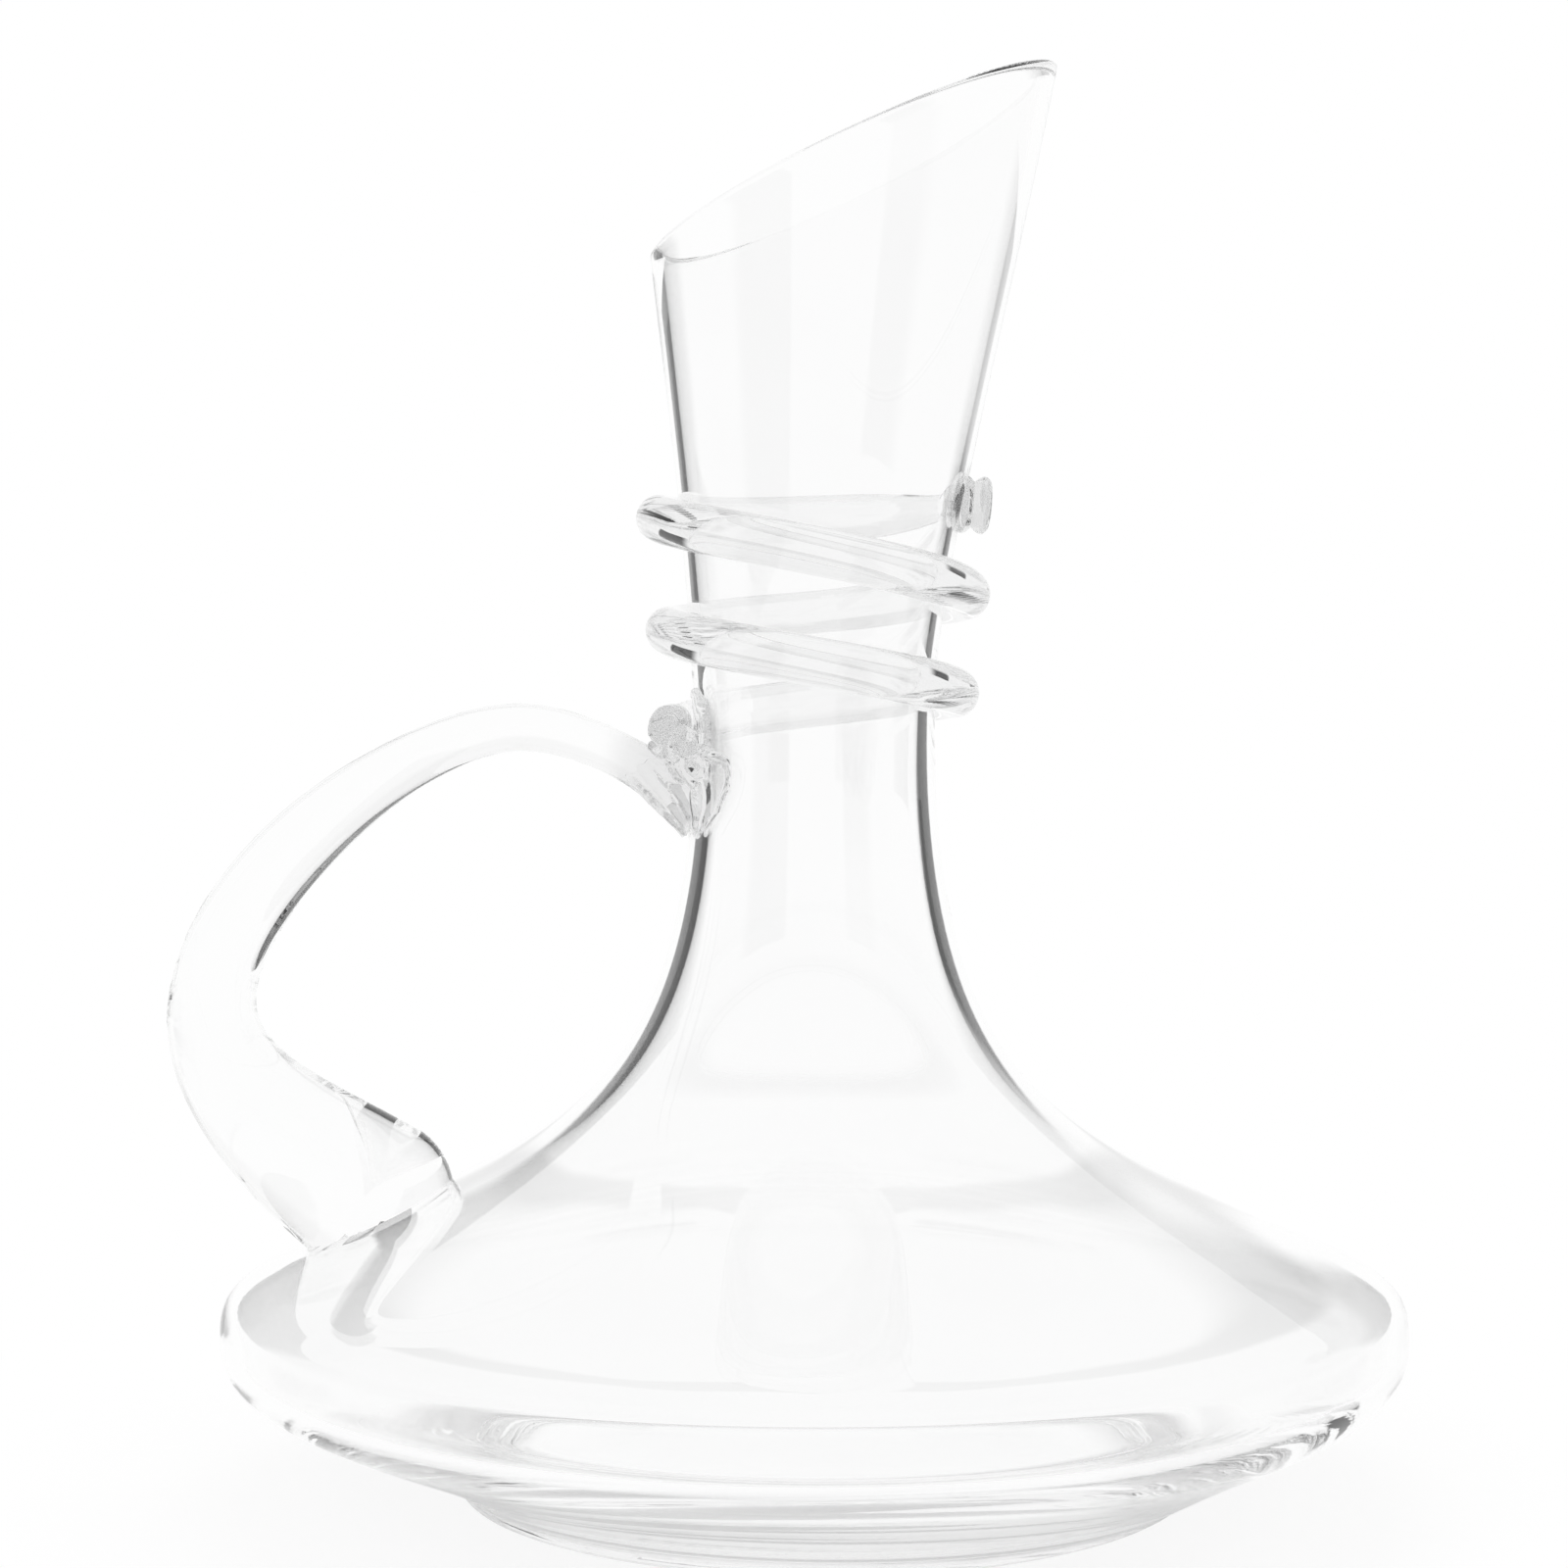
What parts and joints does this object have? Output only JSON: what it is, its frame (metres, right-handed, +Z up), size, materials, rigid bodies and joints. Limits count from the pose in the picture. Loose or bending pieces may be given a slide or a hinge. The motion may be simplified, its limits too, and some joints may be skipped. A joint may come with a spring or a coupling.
{
  "type": "glass wine carafe",
  "caption": "Clear glass wine carafe: squat wide body, long flared neck with a slanted pouring lip, pulled loop handle from neck to shoulder, and a glass trail wound round the neck",
  "frame": {"origin": "centre of the foot's ring, on the body's axis, in the plane that the carafe stands on", "axes": "+Z up along the body's axis, -X toward the handle, +X toward the tip of the pouring lip, -Y the front as pictured"},
  "size_m": [0.2196, 0.209, 0.2502],
  "materials": {
    "clear_glass": "polished clear"
  },
  "bodies": {
    "root": {"carafe": "clear_glass"}
  },
  "joints": []
}
